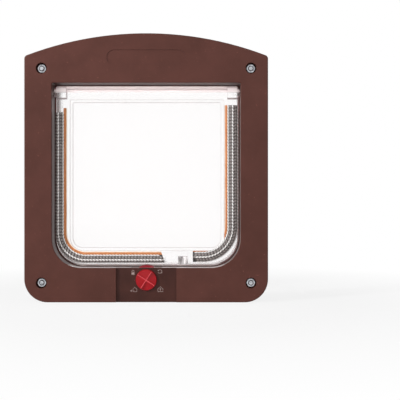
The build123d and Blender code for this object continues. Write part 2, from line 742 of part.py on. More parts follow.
# Bolts from the outside, nuts in the room side counterbores, caps over the bolt heads
for name, (hole_x, hole_z) in zip(hole_names, hole_points):
    with BuildPart() as bolt:
        with BuildSketch(at_depth(frames_depth - counterbore_depth)):
            with Locations((hole_x, hole_z)):
                Circle(head_diameter / 2)
        extrude(amount=-head_height)
        fillet(bolt.faces().sort_by(Axis.Y)[-1].edges(), head_round)
        with BuildSketch(at_depth(frames_depth - counterbore_depth)):
            with Locations((hole_x, hole_z)):
                Circle(bolt_diameter / 2)
        extrude(amount=bolt_length)
        with BuildSketch(at_depth(frames_depth - counterbore_depth + head_height)):
            with Locations((hole_x, hole_z)):
                Rectangle(cross_slot_length, cross_slot_width)
                Rectangle(cross_slot_width, cross_slot_length)
        extrude(amount=cross_slot_depth, mode=Mode.SUBTRACT)
        chamfer(bolt.faces().sort_by(Axis.Y)[0].edges(), bolt_point)
    finish(bolt.part, f"bolt_{name}")
    with BuildPart() as nut:
        with BuildSketch(at_depth(counterbore_depth)):
            with Locations((hole_x, hole_z)):
                RegularPolygon(nut_across_flats / 2, 6, major_radius=False)
                Circle(bolt_diameter / 2, mode=Mode.SUBTRACT)
        extrude(amount=nut_height)
    finish(nut.part, f"nut_{name}")
    with BuildPart() as cap:
        with BuildSketch(at_depth(frames_depth)):
            with Locations((hole_x, hole_z)):
                Circle(cap_diameter / 2)
        extrude(amount=-cap_height, taper=cap_taper)
        fillet(cap.faces().sort_by(Axis.Y)[-1].edges(), cap_edge_round)
        with BuildSketch(at_depth(frames_depth)):
            with Locations((hole_x, hole_z)):
                Circle(counterbore_diameter / 2 - cap_plug_clearance)
                Circle(counterbore_diameter / 2 - cap_plug_clearance - cap_plug_wall, mode=Mode.SUBTRACT)
        extrude(amount=cap_plug_length)
    finish(cap.part, f"cap_{name}")
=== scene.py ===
"""Looks of a cat flap: two brown frames, a clear swinging flap with a pile seal, and a turning lock."""

import logging
import math
import random
from collections.abc import Iterable, Sequence
from dataclasses import dataclass
from enum import Enum, IntEnum

import bmesh
import bpy
from mathutils import Matrix, Vector


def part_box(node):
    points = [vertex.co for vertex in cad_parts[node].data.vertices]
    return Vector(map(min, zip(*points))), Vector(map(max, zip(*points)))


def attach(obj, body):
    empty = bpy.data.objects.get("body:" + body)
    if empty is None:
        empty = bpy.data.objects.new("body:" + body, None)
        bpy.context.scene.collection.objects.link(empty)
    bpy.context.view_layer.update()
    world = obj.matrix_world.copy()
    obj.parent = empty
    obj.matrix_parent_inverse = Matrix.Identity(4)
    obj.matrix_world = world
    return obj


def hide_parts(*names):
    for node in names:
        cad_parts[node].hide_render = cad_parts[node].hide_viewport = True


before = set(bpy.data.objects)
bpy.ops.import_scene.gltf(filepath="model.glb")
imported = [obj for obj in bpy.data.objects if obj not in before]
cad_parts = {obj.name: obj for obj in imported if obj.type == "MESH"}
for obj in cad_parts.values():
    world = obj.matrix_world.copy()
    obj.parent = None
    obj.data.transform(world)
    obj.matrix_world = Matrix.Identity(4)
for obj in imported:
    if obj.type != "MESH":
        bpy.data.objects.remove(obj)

log = logging.getLogger("cat_flap")

MM = 0.001
FRAME_BODY = "frame_body"
FLAP_BODY = "flap_body"
CORNERS = ("left_lower", "left_upper", "right_lower", "right_upper")
SECOND_MATERIAL = 1

# Curve of display colours
FULL_CHANNEL = 255.0
FOOT_END = 0.04045
FOOT_SLOPE = 12.92
CURVE_OFFSET = 0.055
CURVE_POWER = 2.4

Colour = tuple[float, float, float]
Span = tuple[float, float]
Section = Sequence[tuple[float, float]]
Socket = bpy.types.NodeSocket

WHITE: Colour = (1.0, 1.0, 1.0)
BLACK: Colour = (0.0, 0.0, 0.0)


class Side(Enum):
    """Left or right half of the flap, as the sign of X."""

    LEFT = -1
    RIGHT = 1

    @property
    def label(self) -> str:
        """Word that the names of this side's pieces start with."""
        return self.name.lower()


class PileYarn(IntEnum):
    """Place of each yarn among the materials of the pile, which start with its dark root."""

    WEAVE = 1
    STITCH = 2
    SHADE = 3


def linear(red: int, green: int, blue: int) -> Colour:
    """Turn a display colour of 0 to 255 a channel into the renderer's linear colour.

    Args:
        red: Red channel.
        green: Green channel.
        blue: Blue channel.

    Returns:
        The linear colour.
    """
    def channel(value: int) -> float:
        """Undo the display curve of one channel.

        Args:
            value: The channel, 0 to 255.

        Returns:
            The linear channel, 0 to 1.
        """
        share = value / FULL_CHANNEL
        if share <= FOOT_END:
            return share / FOOT_SLOPE
        return ((share + CURVE_OFFSET) / (1.0 + CURVE_OFFSET)) ** CURVE_POWER

    return (channel(red), channel(green), channel(blue))


class ShaderGraph:
    """Node graph of a material or of the world, with short calls to add and join nodes."""

    def __init__(self, owner: bpy.types.Material | bpy.types.World) -> None:
        """Start an empty graph.

        Args:
            owner: Material or world that the graph belongs to.
        """
        self.owner = owner
        owner.use_nodes = True
        self.tree = owner.node_tree
        self.tree.nodes.clear()

    def add(self, kind: str, **inputs: object) -> bpy.types.Node:
        """Add a node and set its input sockets.

        Args:
            kind: Blender's name of the node type.
            inputs: Socket values, with the socket's name in lower case and underscores.

        Returns:
            The new node.
        """
        node = self.tree.nodes.new(kind)
        wanted = dict(inputs)
        for socket in node.inputs:
            key = socket.name.lower().replace(" ", "_")
            if key in wanted:
                socket.default_value = wanted.pop(key)
        return node

    def join(self, source: Socket, target: Socket) -> None:
        """Link an output socket to an input socket."""
        self.tree.links.new(source, target)

    def place(self) -> Socket:
        """Add the object coordinates and return their socket."""
        return self.add("ShaderNodeTexCoord").outputs["Object"]

    def axis(self, letter: str, output: str = "Object") -> Socket:
        """Add one axis of the object coordinates or of the surface's direction.

        Args:
            letter: X, Y or Z.
            output: Object for the place, Normal for the direction.

        Returns:
            The axis socket.
        """
        node = self.add("ShaderNodeSeparateXYZ")
        self.join(self.add("ShaderNodeTexCoord").outputs[output], node.inputs["Vector"])
        return node.outputs[letter]

    def noise(
        self,
        scale: float,
        detail: float = 4.0,
        roughness: float = 0.5,
        stretch: Sequence[float] = WHITE,
    ) -> Socket:
        """Add a noise on the object coordinates.

        Args:
            scale: Number of features in a metre.
            detail: Octaves of the noise.
            roughness: Weight of the finer octaves.
            stretch: Factors on the three coordinates.

        Returns:
            The noise's value socket.
        """
        node = self.add("ShaderNodeTexNoise", scale=scale, detail=detail, roughness=roughness)
        mapping = self.add("ShaderNodeMapping", scale=stretch)
        self.join(self.place(), mapping.inputs["Vector"])
        self.join(mapping.outputs["Vector"], node.inputs["Vector"])
        return node.outputs["Fac"]

    def ramp(self, source: Socket, stops: Sequence[tuple[float, Colour]]) -> Socket:
        """Turn a value into a colour.

        Args:
            source: Socket of the value.
            stops: Places and colours of the ramp's two ends.

        Returns:
            The colour socket.
        """
        node = self.add("ShaderNodeValToRGB")
        for element, (where, colour) in zip(node.color_ramp.elements, stops):
            element.position = where
            element.color = (*colour, 1.0)
        self.join(source, node.inputs["Fac"])
        return node.outputs["Color"]

    def span(
        self, source: Socket, low: float, high: float, start: float = 0.0, end: float = 1.0
    ) -> Socket:
        """Stretch a value from one range to another.

        Args:
            source: Socket of the value.
            low: Result at the start.
            high: Result at the end.
            start: Value that gives the low result.
            end: Value that gives the high result.

        Returns:
            The socket of the result.
        """
        node = self.add("ShaderNodeMapRange", from_min=start, from_max=end, to_min=low, to_max=high)
        self.join(source, node.inputs["Value"])
        return node.outputs["Result"]

    def past(self, source: Socket, where: float, edge: float) -> Socket:
        """Value that is 1 from a place on and 0 before its edge."""
        return self.span(source, 0.0, 1.0, where - edge, where)

    def before(self, source: Socket, where: float, edge: float) -> Socket:
        """Value that is 1 up to a place and 0 past its edge."""
        return self.span(source, 1.0, 0.0, where, where + edge)

    def unsigned(self, source: Socket) -> Socket:
        """Drop the sign of a value.

        Args:
            source: Socket of the value.

        Returns:
            The result's socket.
        """
        node = self.add("ShaderNodeMath")
        node.operation = "ABSOLUTE"
        self.join(source, node.inputs[0])
        return node.outputs["Value"]

    def combine(self, operation: str, *sources: Socket) -> Socket:
        """Join values one after the other by an arithmetic operation.

        Args:
            operation: Blender's name of the operation.
            sources: Sockets of two or more values.

        Returns:
            The result's socket.
        """
        result = sources[0]
        for other in sources[1:]:
            node = self.add("ShaderNodeMath")
            node.operation = operation
            self.join(result, node.inputs[0])
            self.join(other, node.inputs[1])
            result = node.outputs["Value"]
        return result

    def mix(self, factor: Socket, base: Socket, over: Socket | Colour, plain: bool = False) -> Socket:
        """Lay one colour over another, or one plain value over another.

        Args:
            factor: Share of the upper colour.
            base: Lower colour.
            over: Upper colour, as a socket or as a constant.
            plain: Whether the values are plain numbers.

        Returns:
            The socket of the result.
        """
        node = self.add("ShaderNodeMix")
        node.data_type = "FLOAT" if plain else "RGBA"
        kind = "VALUE" if plain else "RGBA"
        ends = [socket for socket in node.inputs if socket.type == kind and socket.name in ("A", "B")]
        self.join(factor, node.inputs["Factor"])
        self.join(base, ends[0])
        if isinstance(over, tuple):
            ends[1].default_value = (*over, 1.0)
        else:
            self.join(over, ends[1])
        return next(socket for socket in node.outputs if socket.type == kind)

    def bump(self, source: Socket, strength: float, distance: float) -> Socket:
        """Turn a height into a normal.

        Args:
            source: Socket of the height.
            strength: Strength of the relief, 0 to 1.
            distance: Height of the relief in metres.

        Returns:
            The normal socket.
        """
        node = self.add("ShaderNodeBump", strength=strength, distance=distance)
        self.join(source, node.inputs["Height"])
        return node.outputs["Normal"]

    def surface(self, joined: dict[str, Socket], **constants: float) -> Socket:
        """Add a principled shader.

        Args:
            joined: Sockets to link, by the name of the input.
            constants: Values of other inputs, named as in add.

        Returns:
            The shader's socket.
        """
        shader = self.add("ShaderNodeBsdfPrincipled", **constants)
        for name, source in joined.items():
            self.join(source, shader.inputs[name])
        return shader.outputs["BSDF"]

    def scatter(self, kind: str, colour: Socket) -> Socket:
        """Add a simple shader of one colour.

        Args:
            kind: Blender's name of the shader.
            colour: Socket of its colour.

        Returns:
            The shader's socket.
        """
        node = self.add(kind)
        self.join(colour, node.inputs["Color"])
        return node.outputs["BSDF"]

    def blend(self, share: Socket, first: Socket, second: Socket) -> Socket:
        """Blend two shaders.

        Args:
            share: Share of the second shader.
            first: Socket of the first shader.
            second: Socket of the second shader.

        Returns:
            The blended shader's socket.
        """
        node = self.add("ShaderNodeMixShader")
        for source, target in zip((share, first, second), node.inputs):
            self.join(source, target)
        return node.outputs["Shader"]

    def background_rays(self) -> Socket:
        """Add a value that is 1 for rays of the camera, of gloss and of clear plastic, and 0 for light.

        Returns:
            The value's socket.
        """
        rays = self.add("ShaderNodeLightPath").outputs
        seen = (rays["Is Camera Ray"], rays["Is Glossy Ray"], rays["Is Transmission Ray"])
        return self.combine("MAXIMUM", *seen)

    def finish(
        self, shader: Socket, kind: str = "ShaderNodeOutputMaterial"
    ) -> bpy.types.Material | bpy.types.World:
        """Join a shader to the output.

        Args:
            shader: Socket of the shader.
            kind: Blender's name of the output node.

        Returns:
            The material or world.
        """
        output = self.add(kind)
        self.join(shader, output.inputs["Surface"])
        return self.owner


@dataclass(frozen=True)
class MouldedPlastic:
    """Opaque moulded plastic with a faint flow mottle, a fine grain and sparse pale specks of wear."""

    name: str
    dark: Colour
    light: Colour
    roughness: float = 0.4
    mottle_scale: float = 26.0
    mottle_low: float = 0.3
    mottle_high: float = 0.7
    scuff_factor: float = 6.0
    scuff_gloss: float = 0.06
    scuff_matt: float = 0.08
    grain_scale: float = 2400.0
    grain_height: float = 0.00006
    grain_strength: float = 0.3
    specular: float = 0.3
    speck_scale: float = 420.0
    speck_start: float = 0.745
    speck_end: float = 0.775
    speck_share: float = 0.6
    speck_lift: float = 1.7

    def colour(self, graph: ShaderGraph) -> Socket:
        """Mottled colour with its pale specks.

        Args:
            graph: Graph that the nodes are added to.

        Returns:
            The colour socket.
        """
        mottle = graph.noise(self.mottle_scale, detail=5.0, roughness=0.6)
        body = graph.ramp(mottle, [(self.mottle_low, self.dark), (self.mottle_high, self.light)])
        pale = tuple(min(1.0, channel * self.speck_lift) for channel in self.light)
        speck = graph.noise(self.speck_scale, detail=1.0)
        specks = graph.span(speck, 0.0, self.speck_share, self.speck_start, self.speck_end)
        return graph.mix(specks, body, pale)

    def gloss(self, graph: ShaderGraph) -> Socket:
        """Roughness with its faint scuffs."""
        scuff = graph.noise(self.mottle_scale * self.scuff_factor, detail=3.0)
        return graph.span(scuff, self.roughness - self.scuff_gloss, self.roughness + self.scuff_matt)

    def material(self) -> bpy.types.Material:
        """Build the material.

        Returns:
            The material.
        """
        graph = ShaderGraph(bpy.data.materials.new(self.name))
        grain = graph.noise(self.grain_scale, detail=2.0)
        relief = graph.bump(grain, self.grain_strength, self.grain_height)
        looks = {"Base Color": self.colour(graph), "Roughness": self.gloss(graph), "Normal": relief}
        return graph.finish(graph.surface(looks, specular_ior_level=self.specular))


@dataclass(frozen=True)
class TunnelPlastic(MouldedPlastic):
    """Frame plastic whose tunnel is smoother, with a painted pale reflection on the upward faces of its
    sill. Places in metres.
    """

    # Colour of the painted reflection of the pale surroundings on the sill.
    sill_colour: Colour = BLACK
    tunnel_half_width: float = 0.09695
    tunnel_bottom: float = 0.0352
    tunnel_top: float = 0.22535
    tunnel_start: float = -0.0215
    sill_top: float = 0.0372
    sill_end: float = 0.0388
    sill_roughness: float = 0.12
    slope_start: float = 0.6
    slope_end: float = 0.9
    # Shares of the painted sill reflection, varied by a noise.
    least_wear: float = 0.85
    most_wear: float = 0.95
    wall_roughness: float = 0.36
    edge: float = 0.0002

    def facing_up(self, graph: ShaderGraph) -> Socket:
        """Value that is 1 where the surface faces up."""
        return graph.span(graph.axis("Z", "Normal"), 0.0, 1.0, self.slope_start, self.slope_end)

    def tunnel(self, graph: ShaderGraph) -> Socket:
        """Value that is 1 in the tunnel and 0 elsewhere.

        Args:
            graph: Graph that the nodes are added to.

        Returns:
            The value's socket.
        """
        inside = graph.before(graph.unsigned(graph.axis("X")), self.tunnel_half_width, self.edge)
        above = graph.past(graph.axis("Z"), self.tunnel_bottom, self.edge)
        below = graph.before(graph.axis("Z"), self.tunnel_top, self.edge)
        deep = graph.past(graph.axis("Y"), self.tunnel_start, self.edge)
        return graph.combine("MULTIPLY", inside, above, below, deep)

    def colour(self, graph: ShaderGraph) -> Socket:
        """Frame colour with the painted pale reflection on the sill.

        Args:
            graph: Graph that the nodes are added to.

        Returns:
            The colour socket.
        """
        low = graph.span(graph.axis("Z"), 1.0, 0.0, self.sill_top, self.sill_end)
        # Painted reflection: the sill's upward faces in the tunnel take the pale colour, in a share that
        # varies by a noise.
        wear = graph.noise(self.mottle_scale, detail=3.0)
        worn = graph.span(wear, self.least_wear, self.most_wear, self.mottle_low, self.mottle_high)
        mask = graph.combine("MULTIPLY", self.tunnel(graph), low, self.facing_up(graph), worn)
        return graph.mix(mask, super().colour(graph), self.sill_colour)

    def gloss(self, graph: ShaderGraph) -> Socket:
        """Roughness, lower in the tunnel and lowest on its sill.

        Args:
            graph: Graph that the nodes are added to.

        Returns:
            The roughness socket.
        """
        ends = (self.sill_roughness, self.wall_roughness)
        height = graph.span(graph.axis("Z"), *ends, self.sill_top, self.sill_end)
        return graph.mix(self.tunnel(graph), super().gloss(graph), height, plain=True)


@dataclass(frozen=True)
class PanelledPlastic(TunnelPlastic):
    """Plastic of the room side frame, with painted shade darkening the recessed floor of its lock panel.
    Places in metres.
    """

    # Dark and light ends of the painted shade on the recessed panel floor.
    panel_dark: Colour = BLACK
    panel_light: Colour = BLACK
    panel_half_width: float = 0.031
    panel_top: float = 0.0354
    panel_depth: float = -0.02
    panel_band: float = 0.0006
    panel_wear: float = 2.0

    def colour(self, graph: ShaderGraph) -> Socket:
        """Frame colour with painted shade on the recessed floor of the lock panel.

        Args:
            graph: Graph that the nodes are added to.

        Returns:
            The colour socket.
        """
        inside = graph.before(graph.unsigned(graph.axis("X")), self.panel_half_width, self.edge)
        below = graph.before(graph.axis("Z"), self.panel_top, self.edge)
        reach = self.panel_band - self.edge
        behind = graph.past(graph.axis("Y"), self.panel_depth - reach, self.edge)
        ahead = graph.before(graph.axis("Y"), self.panel_depth + reach, self.edge)
        mask = graph.combine("MULTIPLY", inside, below, behind, ahead)
        # Painted shade: the recessed floor takes darker browns, mottled by a noise.
        wear = graph.noise(self.mottle_scale * self.panel_wear, detail=4.0)
        stops = [(self.mottle_low, self.panel_dark), (self.mottle_high, self.panel_light)]
        return graph.mix(mask, super().colour(graph), graph.ramp(wear, stops))


@dataclass(frozen=True)
class DialPlastic(MouldedPlastic):
    """Glossy red plastic with a painted pale highlight on the crests of the dial's ridges. Depths in metres.
    """

    # Pale red of the painted highlight on the ridge crests.
    worn: Colour = BLACK
    crest_depth: float = -0.0252
    wear_depth: float = 0.0005
    wear_scale: float = 1500.0
    worn_until: float = 0.35
    sound_from: float = 0.75

    def colour(self, graph: ShaderGraph) -> Socket:
        """Red with the painted highlight on the crests.

        Args:
            graph: Graph that the nodes are added to.

        Returns:
            The colour socket.
        """
        # Painted highlight: the crests within a thin depth take the pale red, broken up by a noise.
        crest_highlight = graph.before(graph.axis("Y"), self.crest_depth, self.wear_depth)
        scuff = graph.noise(self.wear_scale, detail=3.0)
        worn = graph.ramp(scuff, [(self.worn_until, self.worn), (self.sound_from, self.light)])
        return graph.mix(crest_highlight, super().colour(graph), worn)


@dataclass(frozen=True)
class ClearPlastic:
    """Clear moulded plastic, frosted on its edges and its hinge beam. Light passes in shadows."""

    name: str
    tint: Colour
    edge_tint: Colour
    ior: float = 1.42
    roughness: float = 0.02
    straight_share: float = 0.45
    frost: Colour = linear(236, 227, 226)
    edge_frost: Colour = linear(150, 136, 138)
    face_veil: float = 0.04
    edge_veil: float = 0.85
    beam_veil: float = 0.55
    beam_bottom: float = 0.2168
    beam_blend: float = 0.0004
    edge_start: float = 0.35
    edge_end: float = 0.9
    ripple_scale: float = 16.0
    ripple_strength: float = 0.3
    ripple_height: float = 0.00005

    def pane(self, graph: ShaderGraph, flat: Socket) -> Socket:
        """Clear shader, which lets light straight through in shadows.

        Args:
            graph: Graph that the nodes are added to.
            flat: Value that is 1 on the flat of the flap and 0 on its edges.

        Returns:
            The shader's socket.
        """
        colour = graph.ramp(flat, [(self.edge_start, self.edge_tint), (self.edge_end, self.tint)])
        ripple = graph.noise(self.ripple_scale, detail=1.0)
        relief = graph.bump(ripple, self.ripple_strength, self.ripple_height)
        looks = {"Base Color": colour, "Normal": relief}
        bent = graph.surface(looks, ior=self.ior, roughness=self.roughness, transmission_weight=1.0)
        shadow = graph.add("ShaderNodeLightPath").outputs["Is Shadow Ray"]
        share = graph.span(shadow, self.straight_share, 1.0)
        return graph.blend(share, bent, graph.scatter("ShaderNodeBsdfTransparent", colour))

    def milk(self, graph: ShaderGraph, flat: Socket) -> Socket:
        """Frosted shader, which scatters light forwards and backwards.

        Args:
            graph: Graph that the nodes are added to.
            flat: Value that is 1 on the flat of the flap and 0 on its edges.

        Returns:
            The shader's socket.
        """
        haze = graph.ramp(flat, [(self.edge_start, self.edge_frost), (self.edge_end, self.frost)])
        both = graph.add("ShaderNodeAddShader")
        for kind, target in zip(("ShaderNodeBsdfDiffuse", "ShaderNodeBsdfTranslucent"), both.inputs):
            graph.join(graph.scatter(kind, haze), target)
        return both.outputs["Shader"]

    def material(self) -> bpy.types.Material:
        """Build the material.

        Returns:
            The material.
        """
        graph = ShaderGraph(bpy.data.materials.new(self.name))
        flat = graph.unsigned(graph.axis("Y", "Normal"))
        beam_top = self.beam_bottom + self.beam_blend
        beam = graph.span(graph.axis("Z"), 0.0, self.beam_veil, self.beam_bottom, beam_top)
        veil = graph.span(flat, self.edge_veil, self.face_veil, self.edge_start, self.edge_end)
        share = graph.combine("MAXIMUM", veil, beam)
        return graph.finish(graph.blend(share, self.pane(graph, flat), self.milk(graph, flat)))


@dataclass(frozen=True)
class PlatedMetal:
    """Bright plated steel with a fine drawn grain and small spots of duller plate."""

    name: str
    bright: Colour
    dull: Colour
    roughness: float = 0.28
    spot_scale: float = 420.0
    stretch: tuple[float, float, float] = WHITE
    dull_until: float = 0.38
    bright_from: float = 0.6
    spot_matt: float = 0.1
    spot_gloss: float = 0.08
    relief_strength: float = 0.15
    relief_height: float = 0.00004

    def material(self) -> bpy.types.Material:
        """Build the material.

        Returns:
            The material.
        """
        graph = ShaderGraph(bpy.data.materials.new(self.name))
        spots = graph.noise(self.spot_scale, detail=4.0, stretch=self.stretch)
        stops = [(self.dull_until, self.dull), (self.bright_from, self.bright)]
        matt, gloss = self.roughness + self.spot_matt, self.roughness - self.spot_gloss
        looks = {
            "Base Color": graph.ramp(spots, stops),
            "Roughness": graph.span(spots, matt, gloss),
            "Normal": graph.bump(spots, self.relief_strength, self.relief_height),
        }
        return graph.finish(graph.surface(looks, metallic=1.0))


@dataclass(frozen=True)
class Yarn:
    """Soft matt yarn, film or foam with a fibrous mottle and a low sheen."""

    name: str
    dark: Colour
    light: Colour
    fibre_scale: float = 1400.0
    roughness: float = 0.9
    sheen: float = 0.15
    specular: float = 0.2
    low: float = 0.36
    high: float = 0.64
    relief_strength: float = 0.6
    relief_height: float = 0.0002

    def material(self) -> bpy.types.Material:
        """Build the material.

        Returns:
            The material.
        """
        graph = ShaderGraph(bpy.data.materials.new(self.name))
        fibre = graph.noise(self.fibre_scale, detail=4.0, roughness=0.65)
        looks = {
            "Base Color": graph.ramp(fibre, [(self.low, self.dark), (self.high, self.light)]),
            "Normal": graph.bump(fibre, self.relief_strength, self.relief_height),
        }
        constants = {"roughness": self.roughness, "sheen_weight": self.sheen}
        return graph.finish(graph.surface(looks, specular_ior_level=self.specular, **constants))


@dataclass(frozen=True)
class Print:
    """Thin printed ink, worn a little unevenly."""

    name: str
    worn: Colour
    full: Colour
    roughness: float = 0.55
    wear_scale: float = 900.0
    worn_until: float = 0.38
    full_from: float = 0.55

    def material(self) -> bpy.types.Material:
        """Build the material.

        Returns:
            The material.
        """
        graph = ShaderGraph(bpy.data.materials.new(self.name))
        wear = graph.noise(self.wear_scale, detail=3.0)
        colour = graph.ramp(wear, [(self.worn_until, self.worn), (self.full_from, self.full)])
        return graph.finish(graph.surface({"Base Color": colour}, roughness=self.roughness))


class Finishes:
    """Every finish of the object, built once."""

    def __init__(self) -> None:
        """Build the materials."""
        # Pale colour painted on the sill as a reflection of the surroundings.
        sill = linear(232, 222, 220)
        self.frame = PanelledPlastic(
            "brown frame plastic",
            linear(78, 45, 38),
            linear(90, 53, 46),
            specular=0.16,
            sill_colour=sill,
            # Darker browns painted as shade on the recessed lock panel floor.
            panel_dark=linear(58, 32, 27),
            panel_light=linear(72, 41, 35),
        ).material()
        self.rear_frame = TunnelPlastic(
            "brown outside frame plastic",
            linear(90, 51, 46),
            linear(102, 59, 53),
            specular=0.16,
            sill_colour=sill,
        ).material()
        self.cap = MouldedPlastic(
            "brown cap plastic", linear(124, 70, 66), linear(146, 86, 80), roughness=0.5
        ).material()
        self.dial = DialPlastic(
            "red dial plastic",
            linear(150, 6, 18),
            linear(168, 14, 26),
            roughness=0.3,
            grain_strength=0.1,
            specular=0.25,
            # Pale red painted as a highlight on the dial's ridge crests.
            worn=linear(232, 92, 98),
        ).material()
        self.red = MouldedPlastic(
            "red lock plastic", linear(140, 14, 32), linear(160, 22, 42), roughness=0.34, grain_strength=0.12
        ).material()
        self.white = MouldedPlastic("white plastic", linear(205, 205, 200), linear(222, 222, 218)).material()
        self.clear = ClearPlastic("clear flap plastic", (0.965, 0.962, 0.962), (0.8, 0.77, 0.77)).material()
        self.zinc = PlatedMetal("zinc plate", linear(206, 208, 212), linear(158, 160, 165)).material()
        self.magnet = PlatedMetal(
            "nickel plate",
            linear(226, 224, 224),
            linear(120, 116, 116),
            roughness=0.3,
            spot_scale=500.0,
            stretch=(1.0, 1.0, 0.15),
        ).material()
        self.tape = Yarn("orange foam tape", linear(184, 110, 70), linear(230, 154, 102), 600.0).material()
        self.liner = Yarn("cream tape liner", linear(240, 212, 184), linear(252, 236, 216), 500.0).material()
        self.pile = Yarn("dark pile root", linear(70, 66, 64), linear(98, 92, 90)).material()
        self.weave = Yarn("grey pile yarn", linear(120, 113, 110), linear(176, 168, 165)).material()
        # Darker pile yarn of the outer row: painted shade next to the tunnel wall.
        self.shade = Yarn("dark grey pile yarn", linear(104, 98, 95), linear(158, 149, 146)).material()
        self.fin = Yarn("grey fin film", linear(176, 168, 166), linear(208, 200, 198), 500.0).material()
        self.stitch = Yarn("white stitch yarn", linear(244, 240, 238), linear(255, 253, 252)).material()
        self.ink = Print("pale print", linear(128, 108, 104), linear(176, 158, 153)).material()


def dress(node: str, material: bpy.types.Material) -> None:
    """Give a carried-over node its material.

    Args:
        node: Name of the node.
        material: Material for all of its faces.
    """
    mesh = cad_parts[node].data
    mesh.materials.clear()
    mesh.materials.append(material)
    log.info("dressed %s with %s", node, material.name)


def piece(
    name: str,
    shape: bmesh.types.BMesh,
    materials: Sequence[bpy.types.Material],
    body: str,
    stands_for: Sequence[str] = (),
) -> bpy.types.Object:
    """Turn a finished bmesh into a piece that rides on a body.

    Args:
        name: Name of the piece.
        shape: The bmesh, which is freed.
        materials: Its materials, by face index.
        body: Body that it rides on.
        stands_for: Nodes that the piece replaces.

    Returns:
        The new object.
    """
    bmesh.ops.recalc_face_normals(shape, faces=shape.faces)
    mesh = bpy.data.meshes.new(name)
    shape.to_mesh(mesh)
    shape.free()
    for material in materials:
        mesh.materials.append(material)
    obj = bpy.data.objects.new(name, mesh)
    bpy.context.collection.objects.link(obj)
    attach(obj, body)
    if stands_for:
        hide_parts(*stands_for)
    log.info("made %s with %d faces", name, len(mesh.polygons))
    return obj


@dataclass(frozen=True)
class Lamp:
    """Square area lamp. Place and size in metres, power in watts."""

    name: str
    place: tuple[float, float, float]
    size: float
    power: float
    glare: bool

    def hang(self, target: Vector) -> None:
        """Hang the lamp and aim it.

        Args:
            target: Point that it shines at, in metres.
        """
        data = bpy.data.lights.new(self.name, "AREA")
        data.size = self.size
        data.energy = self.power
        lamp = bpy.data.objects.new(self.name, data)
        lamp.location = self.place
        lamp.visible_glossy = self.glare
        lamp.rotation_euler = (target - Vector(self.place)).to_track_quat("-Z", "Y").to_euler()
        bpy.context.collection.objects.link(lamp)


@dataclass
class Studio:
    """Camera, floor, white surroundings and soft lamps. Sizes are in millimetres."""

    photo_width: float = 400.0
    millimetres_per_pixel: float = 1.0242
    frame_centre_pixel: float = 146.1
    frame_sole_pixel: float = 302.5
    camera_distance: float = 870.0
    sensor_width: float = 36.0
    floor_size: float = 9000.0
    floor_dark: float = 0.8
    floor_light: float = 0.82
    floor_wear: float = 3.0
    wear_low: float = 0.2
    wear_high: float = 0.8
    floor_glow: float = 0.84
    glow_near: float = 200.0
    glow_far: float = 480.0
    surround: float = 0.22
    lamp_target: float = 120.0

    def build(self) -> None:
        """Build all of the studio."""
        self.camera()
        self.floor()
        self.world()
        self.lamps()

    def camera(self) -> None:
        """Stand the camera square to the frames, where the photograph's frame falls."""
        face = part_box("interior_frame")[0][1]
        half = self.photo_width / 2
        across = (half - self.frame_centre_pixel) * self.millimetres_per_pixel * MM
        height = (self.frame_sole_pixel - half) * self.millimetres_per_pixel * MM
        data = bpy.data.cameras.new("camera")
        data.sensor_width = self.sensor_width
        view_width = self.photo_width * self.millimetres_per_pixel
        data.lens = self.sensor_width * self.camera_distance / view_width
        camera = bpy.data.objects.new("camera", data)
        camera.location = (across, face - self.camera_distance * MM, height)
        camera.rotation_euler = (math.pi / 2, 0, 0)
        bpy.context.collection.objects.link(camera)
        bpy.context.scene.camera = camera
        bpy.context.scene.view_settings.view_transform = "Standard"

    def floor(self) -> None:
        """Lay a plain pale floor that shows white far off and keeps the shadow near the object."""
        graph = ShaderGraph(bpy.data.materials.new("pale floor"))
        stops = [(self.wear_low, (self.floor_dark,) * 3), (self.wear_high, (self.floor_light,) * 3)]
        wear = graph.ramp(graph.noise(self.floor_wear, detail=2.0), stops)
        surface = graph.scatter("ShaderNodeBsdfDiffuse", wear)
        reach = graph.add("ShaderNodeVectorMath")
        reach.operation = "LENGTH"
        graph.join(graph.place(), reach.inputs[0])
        near, far = self.glow_near * MM, self.glow_far * MM
        share = graph.span(reach.outputs["Value"], self.floor_glow, 1.0, near, far)
        seen = graph.combine("MULTIPLY", share, graph.background_rays())
        glow = graph.add("ShaderNodeEmission", strength=1.0, color=(*WHITE, 1.0))
        material = graph.finish(graph.blend(seen, surface, glow.outputs["Emission"]))
        shape = bmesh.new()
        bmesh.ops.create_grid(shape, x_segments=2, y_segments=2, size=self.floor_size * MM / 2)
        mesh = bpy.data.meshes.new("floor")
        shape.to_mesh(mesh)
        shape.free()
        mesh.materials.append(material)
        floor = bpy.data.objects.new("floor", mesh)
        bpy.context.collection.objects.link(floor)

    def world(self) -> None:
        """Set a soft pale surround that the camera, gloss and clear plastic see as white."""
        graph = ShaderGraph(bpy.data.worlds.new("surround"))
        soft, white = (
            graph.add("ShaderNodeBackground", strength=strength, color=(*WHITE, 1.0)).outputs["Background"]
            for strength in (self.surround, 1.0)
        )
        both = graph.blend(graph.background_rays(), soft, white)
        bpy.context.scene.world = graph.finish(both, "ShaderNodeOutputWorld")

    def lamps(self) -> None:
        """Hang the key lamp at the upper left, and a wide fill behind the camera that leaves no glare."""
        target = Vector((0.0, 0.0, self.lamp_target)) * MM
        Lamp("key", place=(-1.25, -0.95, 0.75), size=0.2, power=20.0, glare=True).hang(target)
        Lamp("fill", place=(0.1, -1.7, 0.4), size=1.6, power=13.5, glare=False).hang(target)


